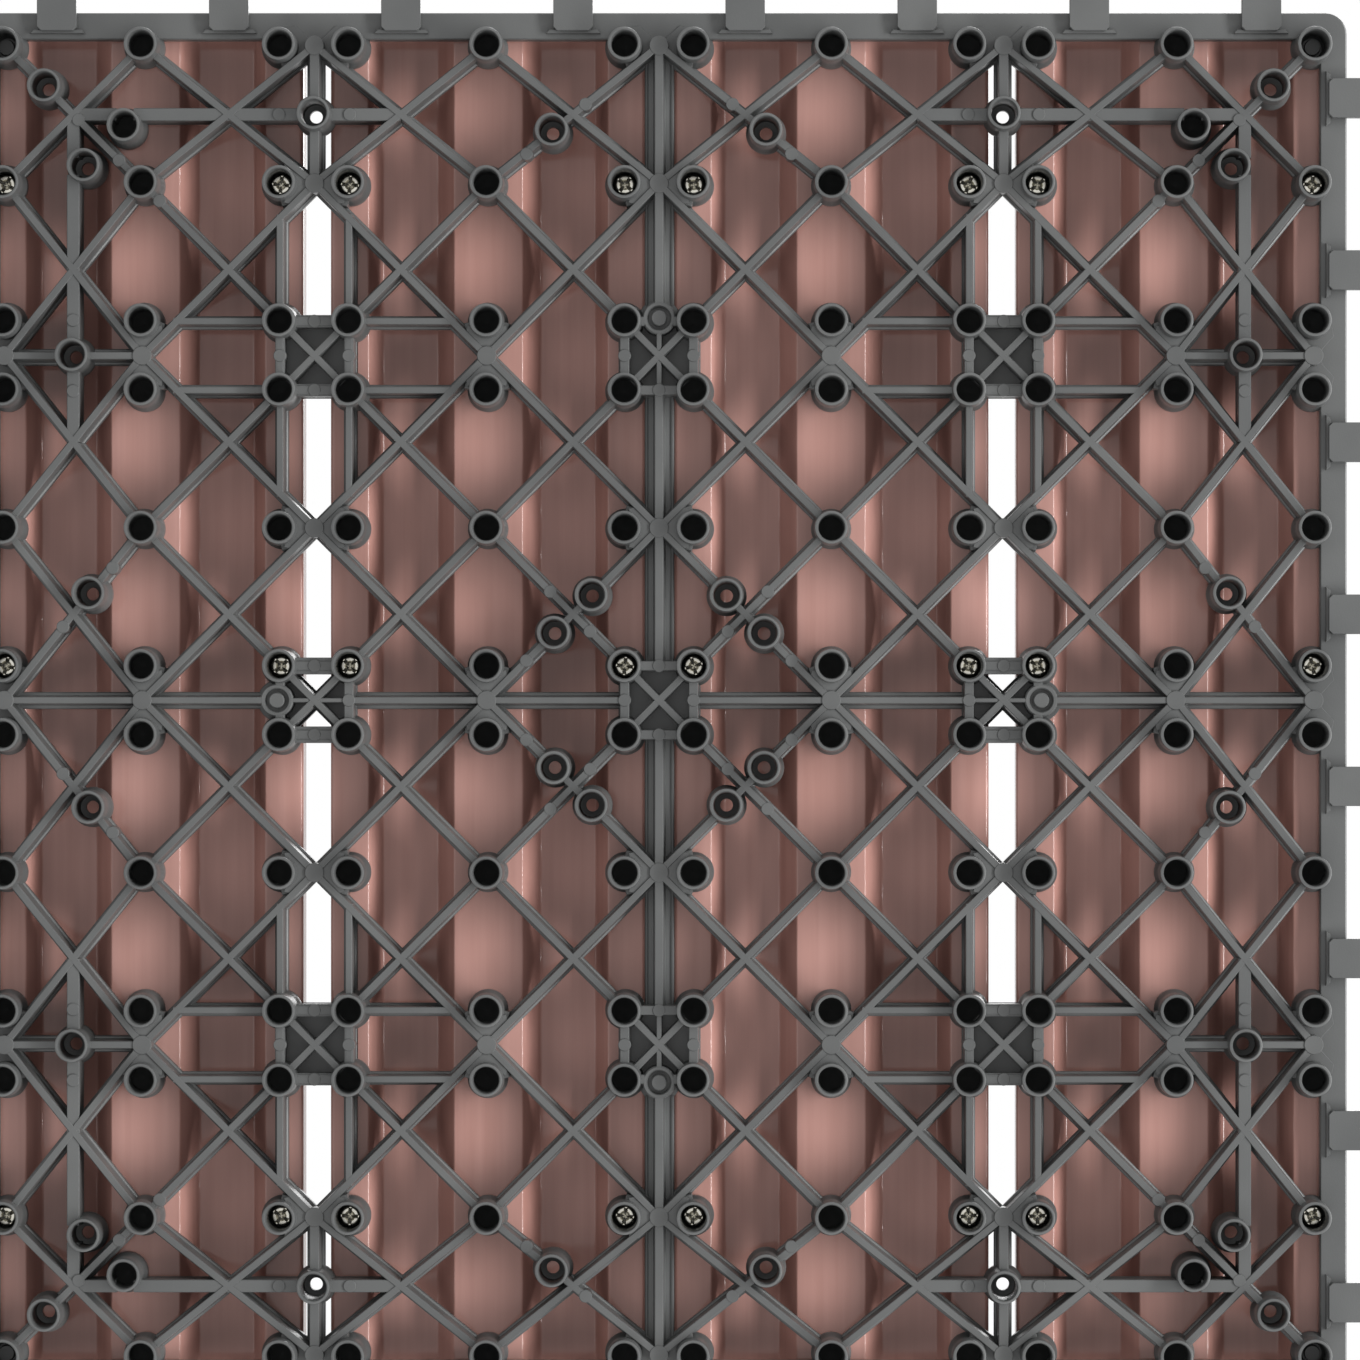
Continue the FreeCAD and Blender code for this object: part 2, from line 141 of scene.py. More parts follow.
def prism(gather, outline, low, high, edge=0.15):
    """A flat outline raised from low to high, with a small bevel round its lower face."""
    count = len(outline)
    centre = sum((Vector(p) for p in outline), Vector((0, 0))) / count
    inner = []
    for i, point in enumerate(outline):
        before = (Vector(point) - Vector(outline[i - 1])).normalized()
        after = (Vector(outline[(i + 1) % count]) - Vector(point)).normalized()
        inward = Vector((-before.y - after.y, before.x + after.x))
        if inward.length < 1e-6:
            inward = centre - Vector(point)
        inner.append(Vector(point) + inward.normalized() * edge)
    rings = [(inner, low), (outline, low + edge), (outline, high)]
    verts = [(p[0], p[1], z) for ring, z in rings for p in ring]
    faces = [tuple(reversed(range(count))), tuple(range(2 * count, 3 * count))]
    for ring in (0, 1):
        for i in range(count):
            j = (i + 1) % count
            a, b = ring * count, (ring + 1) * count
            faces.append((a + i, a + j, b + j, b + i))
    gather.add(verts, faces)


def lathe(gather, x, y, profile, sides, closed=False):
    """A profile of radius and height pairs, turned about an upright axis."""
    count = len(profile)
    verts = []
    for step in range(sides):
        turn = 2 * math.pi * step / sides
        for radius, z in profile:
            verts.append((x + radius * math.cos(turn), y + radius * math.sin(turn), z))
    faces = []
    for step in range(sides):
        after = (step + 1) % sides
        for i in range(count if closed else count - 1):
            j = (i + 1) % count
            faces.append((step * count + i, after * count + i, after * count + j, step * count + j))
    if not closed:
        faces.append(tuple(step * count for step in reversed(range(sides))))
        faces.append(tuple(step * count + count - 1 for step in range(sides)))
    gather.add(verts, faces)


def bar(gather, start, end, section, sink=0.0):
    """A straight bar from a closed section of side and height pairs, with its face sunk a hair."""
    start, end = Vector(start), Vector(end)
    along = (end - start).normalized()
    side = Vector((-along.y, along.x))
    count = len(section)
    verts = []
    for place in (start, end):
        for offset, z in section:
            point = place + side * offset
            verts.append((point.x, point.y, z + sink if z < FLOOR else z))
    faces = [tuple(range(count)), tuple(reversed(range(count, 2 * count)))]
    for i in range(count):
        j = (i + 1) % count
        faces.append((i, count + i, count + j, j))
    gather.add(verts, faces)


def both_sides(half):
    """A section drawn for one side, repeated on the other."""
    return [(-x, z) for x, z in half] + [(x, z) for x, z in reversed(half)]


def rib_section(face, root, flange):
    """A drafted web with softened edges on a wider flange."""
    return both_sides([
        (face / 2 - 0.14, RIB_FACE),
        (face / 2, RIB_FACE + 0.14),
        (root / 2, FLOOR - 0.7),
        (root / 2 + 0.12, FLOOR - 0.5),
        (flange / 2 - 0.22, FLOOR - 0.42),
        (flange / 2, FLOOR - 0.2),
        (flange / 2, GRID_TOP),
    ])


def seam_section(face, flange):
    """A web on a broad flange with a raised lip along each edge."""
    return both_sides([
        (face / 2 - 0.16, RIB_FACE),
        (face / 2, RIB_FACE + 0.16),
        (face / 2 + 0.2, FLOOR - 1.1),
        (face / 2 + 0.4, FLOOR - 0.5),
        (flange / 2 - 0.75, FLOOR - 0.4),
        (flange / 2 - 0.6, FLOOR - 0.75),
        (flange / 2 - 0.25, FLOOR - 0.8),
        (flange / 2, FLOOR - 0.55),
        (flange / 2, GRID_TOP),
    ])


def quarter_feet():
    """The feet of one quarter, grouped by the kind of floor they have."""
    inner = CROSSING_STEP / math.sqrt(2)
    slope = math.atan2(EDGE - 3 * PITCH, PITCH)
    outer = (PITCH / 2 + CROSSING_STEP * math.cos(slope), CROSSING - CROSSING_STEP * math.sin(slope))
    holed = [
        (PITCH / 2 - inner, PITCH / 2 + inner),
        (PITCH / 2 + inner, PITCH / 2 - inner),
        outer,
        outer[::-1],
        (EDGE - CORNER_STEP, EDGE - CORNER_STEP),
        CORNER_PAIR[::-1],
        (2 * PITCH, CROSSING),
        (CROSSING, 2 * PITCH),
    ]
    return {"blind": [(x, y) for x in FOOT_LINES for y in FOOT_LINES] + [CORNER_PAIR], "holed": holed}


def four_ways(items):
    """Points, or pairs of points, of one quarter repeated in all four."""
    turned = []
    for sx in (1, -1):
        for sy in (1, -1):
            for item in items:
                if isinstance(item[0], tuple):
                    turned.append(tuple((sx * x, sy * y) for x, y in item))
                else:
                    turned.append((sx * item[0], sy * item[1]))
    unique = {}
    for item in turned:
        flat = item if isinstance(item[0], tuple) else (item,)
        key = tuple(sorted((round(x, 3) + 0.0, round(y, 3) + 0.0) for x, y in flat))
        unique.setdefault(key, item)
    return list(unique.values())


FEET = {kind: four_ways(places) for kind, places in quarter_feet().items()}
GATE_PLACE = 2 * PITCH + SEAM + 0.7
GATES = four_ways([(GATE_PLACE, 0), (0, GATE_PLACE)])
ALL_FEET = FEET["blind"] + FEET["holed"] + GATES


def clear_stretches(start, end, radius=3.2):
    """The stretches of a rib that lie outside the feet it runs into."""
    start, end = Vector(start), Vector(end)
    along = (end - start).normalized()
    total = (end - start).length
    taken = []
    for foot in ALL_FEET:
        offset = Vector(foot) - start
        t = offset.dot(along)
        off = abs(offset.x * along.y - offset.y * along.x)
        if off < radius:
            reach = math.sqrt(radius * radius - off * off)
            taken.append((t - reach, t + reach))
    place = 0
    for low, high in sorted(taken):
        if low > place + 0.05 and place < total:
            yield start + along * place, start + along * min(low, total)
        place = max(place, high)
    if place < total - 0.05:
        yield start + along * place, end


def diagonal_lines():
    lines = []
    for x0, x1 in zip(LINES, LINES[1:]):
        for y0, y1 in zip(LINES, LINES[1:]):
            lines.append(((x0, y0), (x1, y1)))
            lines.append(((x0, y1), (x1, y0)))
    return four_ways(lines)


def box_wall_lines():
    lines = []
    for x in (0, 2 * PITCH):
        for y in (0, 2 * PITCH):
            for s in (-SEAM, SEAM):
                lines.append(((x - SEAM, y + s), (x + SEAM, y + s)))
                lines.append(((x + s, y - SEAM), (x + s, y + SEAM)))
    return four_ways(lines)


def frame_lines():
    start, end = PITCH + SEAM, 3 * PITCH - SEAM
    lines = []
    for line in (2 * PITCH - SEAM, 2 * PITCH + SEAM):
        lines.append(((start, line), (end, line)))
        lines.append(((line, start), (line, end)))
    return four_ways(lines)


def add_ribs(gather, lines, section, sink=0.0, over=0.7):
    """Bars along lines, run a little past their ends, none quite level with one that it crosses."""
    for start, end in lines:
        start, end = Vector(start), Vector(end)
        line = end - start
        past = line.normalized() * over
        column = math.floor((start.x + end.x) / 2 / PITCH) % 2
        lean = 1 if line.x * line.y < 0 or abs(line.x) < 1e-6 else 0
        for low, high in clear_stretches(start - past, end + past):
            bar(gather, low, high, section, sink + 0.02 * lean + 0.01 * column)


def turned_lines(lines):
    """Lines along one axis, laid along the other."""
    return [tuple((y, x) for x, y in line) for line in lines]


def grid_ribs():
    """Every rib of the lattice, each kind sunk a little deeper than the last."""
    near, far = 2 * PITCH - SEAM, 2 * PITCH + SEAM
    middle = [((0, SEAM), (0, near)), ((0, far), (0, RIM_EDGE))]
    short = [((2 * PITCH, 3 * PITCH), (2 * PITCH, RIM_EDGE))]
    inside = [((0, near), (0, far))]
    flats = [(end, (CROSSING, CROSSING)) for end in ((1.5 * PITCH, CROSSING), (CROSSING, 1.5 * PITCH))]
    gather = Pieces()
    add_ribs(gather, diagonal_lines(), rib_section(1.5, 1.95, 3.0))
    add_ribs(gather, frame_lines(), rib_section(1.45, 1.9, 2.9), 0.05)
    add_ribs(gather, box_wall_lines(), rib_section(2.0, 2.3, 2.9), 0.1)
    for lines, section, sink in [
        (middle, seam_section(1.9, 6.4), 0.15),
        (short, rib_section(2.1, 2.7, 3.9), 0.15),
        (turned_lines(short), rib_section(1.6, 2.2, 3.6), 0.15),
        (turned_lines(middle), rib_section(1.45, 2.0, 3.7), 0.15),
        (inside, rib_section(1.1, 1.4, 1.7), 0.2),
        (turned_lines(inside), rib_section(0.95, 1.2, 1.5), 0.2),
        (flats, rib_section(2.75, 2.95, 3.1), 0.25),
    ]:
        add_ribs(gather, four_ways(lines), section, sink, 0)
    return gather


def grid_feet():
    """Hollow feet with a drafted wall, a softened rim and a coned floor under the boards."""
    gather = Pieces()
    outside = [
        (BORE_RADIUS + 0.08, 0.12),
        (BORE_RADIUS + 0.2, 0.0),
        (FOOT_RADIUS - 0.25, 0.0),
        (FOOT_RADIUS - 0.07, 0.07),
        (FOOT_RADIUS, 0.25),
        (FOOT_RADIUS + 0.14, RIB_FACE),
        (FOOT_RADIUS + 0.25, FLOOR - 1.6),
        (FOOT_RADIUS + 0.75, FLOOR - 0.9),
        (FOOT_RADIUS + 0.8, GRID_TOP),
    ]
    bore = [(BORE_RADIUS - 0.25, FLOOR - 0.2), (BORE_RADIUS - 0.02, 0.35)]
    coned = [(0.01, BASE_TOP - 0.1), (BORE_RADIUS - 0.45, FLOOR)] + bore + outside
    # The four corner feet are a little wider, with a post on the floor.
    post = [(0.01, FLOOR - 1.6), (1.6, FLOOR - 1.6), (1.8, FLOOR + 0.3), (2.2, FLOOR + 0.3)]
    corner = post + [(radius + 0.15, z) for radius, z in bore + outside]
    for x, y in FEET["blind"]:
        lathe(gather, x, y, corner if abs(x) == abs(y) == EDGE else coned, 32)
    hole = [(DRAIN_RADIUS, GRID_TOP), (DRAIN_RADIUS, BASE_TOP - 0.4), (DRAIN_RADIUS, FLOOR + 0.2)]
    holed = hole[1:] + [(BORE_RADIUS - 0.3, FLOOR - 0.1)] + bore[1:] + outside + hole[:1]
    for x, y in FEET["holed"]:
        lathe(gather, x, y, holed, 32, closed=True)
    return gather


def rounded_square(half, radius, steps=8):
    """Points round a square with rounded corners, the same number for any size."""
    points = []
    centre = half - radius
    for quarter in range(4):
        for step in range(steps + 1):
            turn = (quarter + step / steps) * math.pi / 2
            corner = (quarter + 0.5) * math.pi / 2
            x = centre * math.copysign(1, math.cos(corner)) + radius * math.cos(turn)
            y = centre * math.copysign(1, math.sin(corner)) + radius * math.sin(turn)
            points.append((x, y))
    return points


def grid_rim():
    """The flat rim with softened edges, drawn as rings from the outer edge inwards and back."""
    gather = Pieces()
    section = [
        (0, GRID_TOP),
        (0, RIM_FACE + 0.3),
        (0.09, RIM_FACE + 0.09),
        (0.3, RIM_FACE),
        (RIM_WIDTH - 0.25, RIM_FACE),
        (RIM_WIDTH, RIM_FACE + 0.25),
        (RIM_WIDTH, GRID_TOP),
    ]
    rings = [(rounded_square(HALF - u, max(CORNER_RADIUS - u, 0.8)), z) for u, z in section]
    count = len(rings[0][0])
    verts = [(x, y, z) for ring, z in rings for x, y in ring]
    faces = []
    for ring in range(len(rings)):
        after = (ring + 1) % len(rings)
        for i in range(count):
            j = (i + 1) % count
            faces.append((ring * count + j, ring * count + i, after * count + i, after * count + j))
    gather.add(verts, faces)
    return gather


def cut_bores(piece):
    """The bores of the edge feet, cut out of the rim where they run into it."""
    cutter = Pieces()
    for x, y in FEET["blind"]:
        if max(abs(x), abs(y)) == EDGE:
            prism(cutter, circle(x, y, BORE_RADIUS + 0.3, 32), RIM_FACE - 1, BASE_TOP - 0.5, 0.1)
    mesh = bpy.data.meshes.new("bores")
    mesh.from_pydata([Vector(v) * MM for v in cutter.verts], [], cutter.faces)
    tool = bpy.data.objects.new("bores", mesh)
    bpy.context.collection.objects.link(tool)
    cut = piece.modifiers.new("bores", "BOOLEAN")
    cut.operation = "DIFFERENCE"
    cut.solver = "EXACT"
    cut.object = tool
    bpy.context.view_layer.objects.active = piece
    bpy.ops.object.modifier_apply(modifier=cut.name)
    bpy.data.objects.remove(tool)
    bpy.data.meshes.remove(mesh)


def circle(x, y, radius, sides=24):
    return [
        (x + radius * math.cos(2 * math.pi * i / sides), y + radius * math.sin(2 * math.pi * i / sides))
        for i in range(sides)
    ]


def placed(centre, outline, along_x):
    """An outline whose first axis runs along X or Y, moved to its centre."""
    if not along_x:
        outline = [(b, a) for a, b in reversed(outline)]
    return [(centre[0] + a, centre[1] + b) for a, b in outline]


def arc(x, y, radius, start, end, steps):
    """Points along an arc, with its ends in degrees."""
    turns = [math.radians(start + (end - start) * i / steps) for i in range(steps + 1)]
    return [(x + radius * math.cos(a), y + radius * math.sin(a)) for a in turns]


def node_plates(gather, centre, along_x, both_ears, low):
    """The plates that tie a pair of feet to the node between them, its mark and the feet's ears."""
    high = low + 2.2
    half = [(0, -1.6), (1.6, -2.1), (4.4, -4.7), (6.6, -4.2)] + arc(SEAM, 0, 3.3, 250, 110, 12)
    half += [(6.6, 4.2), (4.4, 4.7), (1.6, 2.1), (0, 1.6)]
    prism(gather, placed(centre, half, along_x), low, high, 0.1)
    prism(gather, placed(centre, [(-a, b) for a, b in reversed(half)], along_x), low, high, 0.1)
    prism(gather, circle(*centre, 2.1, 32), RIB_FACE - 0.12, FLOOR, 0.12)
    inward = -math.copysign(1, centre[1] if along_x else centre[0])
    for way in ((1, -1) if both_ears else (inward,)):
        ear = arc(SEAM, 0, 5.0, 95, 140, 6) + arc(SEAM, 0, 3.4, 150, 90, 6)
        if way < 0:
            ear = [(a, -b) for a, b in reversed(ear)]
        for outline in (ear, [(-a, b) for a, b in reversed(ear)]):
            prism(gather, placed(centre, outline, along_x), RIB_FACE + 1.2, BASE_TOP - 0.1, 0.2)


def grid_nodes():
    """The plates at every node that lies between two feet."""
    gather = Pieces()
    for across in (0, 2 * PITCH):
        for along in (PITCH, 3 * PITCH, EDGE):
            both_ears = along == PITCH
            low = RIB_FACE + (3.6 if along == EDGE else 0.35)
            for centre in four_ways([(across, along)]):
                node_plates(gather, centre, True, both_ears, low)
            for centre in four_ways([(along, across)]):
                node_plates(gather, centre, False, both_ears, low)
    return gather


def grid_marks():
    """Round marks of the mould's pins, on the walls of the boxes and along some ribs."""
    gather = Pieces()
    marks = []
    for x in (0, 2 * PITCH):
        for y in (0, 2 * PITCH):
            walls = [(x + s, y) for s in (-SEAM, SEAM)] + [(x, y + s) for s in (-SEAM, SEAM)]
            at_gate = (2 * PITCH + SEAM, 0), (0, 2 * PITCH + SEAM)
            marks += [wall for wall in walls if wall not in at_gate]
    marks += [(CROSSING - 1.2, CROSSING - 1.2), (3 * PITCH + 5, 3 * PITCH + 5)]
    marks += [(0.77 * PITCH, 0.23 * PITCH), (0.4 * PITCH, 0.4 * PITCH), (0.63 * PITCH, 0.63 * PITCH)]
    marks += [(28.8, 118.9), (118.9, 28.8)]
    marks += [(16, 129.7), (129.7, 16), (3 * PITCH - 3.8, 3 * PITCH - 3.8)]
    for place in (2 * PITCH - 7.7, 2 * PITCH + 7.7):
        marks += [(place, CROSSING), (CROSSING, place)]
    for mark in four_ways(marks):
        prism(gather, circle(*mark, 1.4, 24), RIB_FACE - 0.08, FLOOR, 0.12)
    return gather


def grid_plates():
    """The floors of the boxes, their thin inner ribs and the moulding gates."""
    gather = Pieces()
    for x, y in four_ways([(0, 0), (0, 2 * PITCH), (2 * PITCH, 2 * PITCH)]):
        near, far = SEAM - 3.2, SEAM
        corners = [(-near, -far), (near, -far), (far, -near), (far, near)]
        corners += [(-a, -b) for a, b in corners]
        prism(gather, placed((x, y), corners, True), FLOOR - 1.2, BASE_TOP - 0.05)
    for x in (-2 * PITCH, 2 * PITCH):
        for side in (-SEAM, SEAM):
            inner, outer = side - math.copysign(3.2, side), SEAM - 3.2
            outline = [(0, 0), (inner, -outer), (side, -outer), (side, outer), (inner, outer)]
            if side < 0:
                outline = outline[::-1]
            prism(gather, placed((x, 0), outline, True), FLOOR - 1.2, BASE_TOP - 0.05)
    for line, half in ((2 * PITCH - SEAM, 1.35), (2 * PITCH + SEAM, 1.35), (SEAM, 1.8)):
        for x, y in four_ways([(2 * PITCH, line)]):
            sheet = [(x - 4.5, y - half), (x + 4.5, y - half), (x + 4.5, y + half), (x - 4.5, y + half)]
            prism(gather, sheet, RIB_FACE + 0.5, BASE_TOP - 0.1, 0.12)
    for x, y in GATES:
        wall = [(2.45, FLOOR), (2.5, 4.5), (2.75, 4.15), (3.3, 4.1), (3.6, 4.4), (3.9, BASE_TOP - 0.1)]
        lathe(gather, x, y, wall + [(2.45, BASE_TOP - 0.1)], 40, closed=True)
        lathe(gather, x, y, [(0.01, 3.95), (1.5, 3.95), (1.72, 4.2), (1.8, FLOOR), (0.01, FLOOR)], 28)
        prism(gather, circle(x, y, 2.6), 6.0, BASE_TOP - 0.1)
        prism(gather, circle(x, y, 4.6), FLOOR - 0.3, BASE_TOP - 0.15)
    return gather


def loop_outline():
    """Half round at its outer end and square at its root, about the middle of its hole."""
    root, soft = LOOP_REACH + LOOP_ROOT, 0.8
    turns = [math.pi + math.pi * i / 23 for i in range(24)]
    outline = [(LOOP_HALF * math.cos(a), LOOP_HALF * math.sin(a)) for a in turns]
    outline += [(LOOP_HALF, root - soft), (LOOP_HALF - soft, root)]
    outline += [(soft - LOOP_HALF, root), (-LOOP_HALF, root - soft)]
    return [Vector(point) for point in outline]


def holed_plate(gather, outline, radius, low, high, edge, place):
    """A plate with a round hole and softened edges, put in place by a function."""
    count = len(outline)
    levels = [(low, edge), (low + edge, 0), (high - edge, 0), (high, edge)]
    rings = []
    for side in (-1, 1):
        for z, soft in levels:
            for point in outline:
                base = point if side < 0 else point.normalized() * radius
                spot = place(base + point.normalized() * soft * side)
                rings.append((spot.x, spot.y, z))
    faces = []
    for i in range(count):
        j = (i + 1) % count
        for level in range(3):
            a, b = level * count, (level + 1) * count
            c, d = a + 4 * count, b + 4 * count
            faces += [(a + i, a + j, b + j, b + i), (c + j, c + i, d + i, d + j)]
        faces += [(j, i, 4 * count + i, 4 * count + j)]
        faces += [(3 * count + i, 3 * count + j, 7 * count + j, 7 * count + i)]
    gather.add(rings, faces)


def grid_joints():
    """Loops with a collar on the rim along two sides, and pegs under the other two."""
    gather = Pieces()
    near, far = 3.6 - HALF, 4.6 - HALF
    collar = [(-5.3, near), (5.3, near), (6.0, far), (-6.0, far)]
    for turn in (0, math.pi / 2):
        matrix = Matrix.Rotation(turn, 2)
        for k in range(LOOPS):
            x = (k - (LOOPS - 1) / 2) * PITCH
            hole = Vector((x, -HALF - LOOP_REACH))
            holed_plate(gather, loop_outline(), LOOP_HOLE, RIM_FACE - LOOP_THICKNESS, RIM_FACE, 0.15,
                        lambda point: matrix @ (hole + point))
            turned = [tuple(matrix @ Vector((x + a, b))) for a, b in collar]
            prism(gather, turned, RIM_FACE - 1.1, RIM_FACE + 0.3, 0.25)
            peg = matrix @ Vector((x, HALF - LOOP_REACH))
            tip = [(0.01, PEG_TIP), (PEG_RADIUS - 0.3, PEG_TIP), (PEG_RADIUS, PEG_TIP + 0.3)]
            root = [(PEG_RADIUS, BASE_TOP - 0.1), (0.01, BASE_TOP - 0.1)]
            lathe(gather, peg.x, peg.y, tip + root, 28)
    return gather


def board_section():
    """Half of a board's section from the middle of its underside to the middle of its top."""
    low, roof, top = BASE_TOP, BASE_TOP + CHANNEL_DEPTH, BOARD_TOP
    side = BOARD_WIDTH / 2
    half = [
        (0, low),
        (7.2, low),
        (7.5, low + 0.08),
        (7.75, low + 0.35),
        (10.95, roof - 0.4),
        (11.25, roof - 0.12),
        (11.7, roof),
        (22.9, roof),
        (23.3, roof - 0.12),
        (23.6, roof - 0.4),
        (25.95, low + 0.35),
        (26.2, low + 0.08),
        (26.5, low),
        (side - 0.9, low),
        (side - 0.4, low + 0.1),
        (side - 0.1, low + 0.4),
        (side, low + 0.9),
        (side, top - 1.1),
        (side - 0.3, top - 0.35),
        (side - 1.1, top),
    ]
    grooves = []
    for k in range(6, -1, -1):
        x = k * GROOVE_PITCH
        soft = [(x + 0.85, top), (x + 0.65, top - 0.2), (x + 0.55, top - 0.65), (x + 0.3, top - 0.8)]
        grooves += soft
        if k:
            grooves += [(2 * x - a, z) for a, z in reversed(soft)]
    return half + grooves


def board(number, centre):
    """One board: its section drawn along Y, with softened ends."""
    half = board_section()
    section = half + [(-x, z) for x, z in reversed(half) if x > 0]
    count = len(section)
    end, soft, steps = BOARD_LENGTH / 2, 0.25, 24
    verts = []
    places = [(-end, soft), (soft - end, 0)]
    places += [(soft - end + (2 * end - 2 * soft) * i / steps, 0) for i in range(1, steps)]
    places += [(end - soft, 0), (end, soft)]
    for y, edge in places:
        for x, z in section:
            sx = x - math.copysign(edge, x) if abs(x) > BOARD_WIDTH / 2 - 1 else x
            sz = z + (edge if z < BASE_TOP + 0.1 else 0) - (edge if z > BOARD_TOP - 0.1 else 0)
            verts.append((centre + sx, y, sz))
    last = (len(places) - 1) * count
    faces = [tuple(range(count)), tuple(reversed(range(last, last + count)))]
    for step in range(len(places) - 1):
        for i in range(count):
            j = (i + 1) % count
            a, b = step * count, (step + 1) * count
            faces.append((a + j, a + i, b + i, b + j))
    gather = Pieces()
    gather.add(verts, faces)
    material = board_material(number)
    gather.made(f"board_{number}_detail", material, "board_composite", [f"board_{number}"])


def screw(gather, x, y, turn):
    """A domed head with a cross recess, drawn as rings of points, and its shank with a thread."""
    sides, seat = SCREW_SIDES, FLOOR - 0.02
    around = [2 * math.pi * i / sides for i in range(sides)]
    radii = [0.12 * i for i in range(1, 15)] + [1.8, 1.95, 2.1, 2.22, 2.3, HEAD_RADIUS]
    rings = []
    for r in radii:
        ring = []
        for a in around:
            u, v = abs(r * math.cos(a)), abs(r * math.sin(a))
            arm, across = max(u, v), min(u, v)
            slot_half = 0.3 + 0.35 * max(0.0, 1.1 - arm)
            walls = min(max((slot_half - across) / 0.14 + 0.5, 0.0), 1.0)
            inside = walls * min(max((RECESS_REACH - arm) / 0.2, 0.0), 1.0)
            core = min(max((1.15 - r) / 0.25, 0.0), 1.0)
            depth = max(inside, core) * (1.4 - 0.6 * r)
            dome = 0.02 * r * r + 0.7 * max(0.0, (r - 1.86) / 0.49) ** 1.3
            ring.append((r, a, HEAD_FACE + dome + depth))
        rings.append(ring)
    rings.append([(HEAD_RADIUS, a, seat) for a in around])
    rings.append([(SHANK_RADIUS, a, seat) for a in around])
    thread_low, thread_high = BASE_TOP + 0.6, BASE_TOP + 6.4
    turns = int((thread_high - thread_low) / THREAD_LEAD * 4)
    for step in range(turns + 1):
        z = thread_low + (thread_high - thread_low) * step / turns
        taper = 1 - 0.5 * max(0.0, step / turns - 0.75) / 0.25
        ring = []
        for a in around:
            ridge = abs(math.sin(math.pi * z / THREAD_LEAD - a / 2))
            ring.append((taper * (1.12 + 0.26 * ridge), a, z))
        rings.append(ring)
    rings.append([(0.15, a, thread_high + 0.55) for a in around])
    verts = [(x, y, HEAD_FACE + 1.3)]
    for ring in rings:
        verts += [(x + r * math.cos(a + turn), y + r * math.sin(a + turn), z) for r, a, z in ring]
    faces = [(0, 1 + (i + 1) % sides, 1 + i) for i in range(sides)]
    for ring in range(len(rings) - 1):
        for i in range(sides):
            j = (i + 1) % sides
            a, b = 1 + ring * sides, 1 + (ring + 1) * sides
            faces.append((a + i, a + j, b + j, b + i))
    faces.append(tuple(1 + (len(rings) - 1) * sides + i for i in range(sides)))
    gather.add(verts, faces)


def screws(number, centre, material):
    gather = Pieces()
    for side in (-1, 1):
        for y in (-3 * PITCH, -SEAM, 3 * PITCH):
            screw(gather, centre + side * (PITCH - SEAM), y, random.uniform(0, math.pi / 2))
    gather.made(f"screws_board_{number}_detail", material, "screw_steel", [f"screws_board_{number}"])


def new_material(name):
    material = bpy.data.materials.new(name)
    material.use_nodes = True
    nodes = material.node_tree.nodes
    return material, nodes, material.node_tree.links, nodes["Principled BSDF"]


def ramp_node(nodes, stops):
    ramp = nodes.new("ShaderNodeValToRGB")
    elements = ramp.color_ramp.elements
    while len(elements) < len(stops):
        elements.new(0.5)
    for element, (place, colour) in zip(elements, stops):
        element.position = place
        element.color = (*colour, 1)
    return ramp


def noise(nodes, links, vector, scale, detail):
    """A noise pattern over a vector."""
    made = nodes.new("ShaderNodeTexNoise")
    made.inputs["Scale"].default_value = scale
    made.inputs["Detail"].default_value = detail
    links.new(vector, made.inputs["Vector"])
    return made.outputs["Fac"]


def tinted(nodes, links, shader, pattern, stops):
    """Colour that follows a pattern."""
    tint = ramp_node(nodes, stops)
    links.new(pattern, tint.inputs["Fac"])
    links.new(tint.outputs["Color"], shader.inputs["Base Color"])


def bumped(nodes, links, shader, pattern, strength, distance):
    """A fine relief that follows a pattern."""
    bump = nodes.new("ShaderNodeBump")
    bump.inputs["Strength"].default_value = strength
    bump.inputs["Distance"].default_value = distance
    links.new(pattern, bump.inputs["Height"])
    links.new(bump.outputs["Normal"], shader.inputs["Normal"])


def roughened(nodes, links, shader, pattern, low, high):
    """Roughness between two levels that follows a pattern."""
    rough = nodes.new("ShaderNodeMapRange")
    rough.inputs["To Min"].default_value = low
    rough.inputs["To Max"].default_value = high
    links.new(pattern, rough.inputs["Value"])
    links.new(rough.outputs["Result"], shader.inputs["Roughness"])


def plastic_material():
    """Dark grey moulded plastic with a fine satin grain and faint flow marks."""
    material, nodes, links, shader = new_material("grid_plastic")
    place = nodes.new("ShaderNodeTexCoord").outputs["Object"]
    cloud = noise(nodes, links, place, 35, 5)
    grain = noise(nodes, links, place, 2600, 3)
    tinted(nodes, links, shader, cloud, [(0.3, (0.056, 0.058, 0.058)), (0.7, (0.078, 0.08, 0.079))])
    bumped(nodes, links, shader, grain, 0.12, 0.0002)
    roughened(nodes, links, shader, cloud, 0.32, 0.44)
    return material


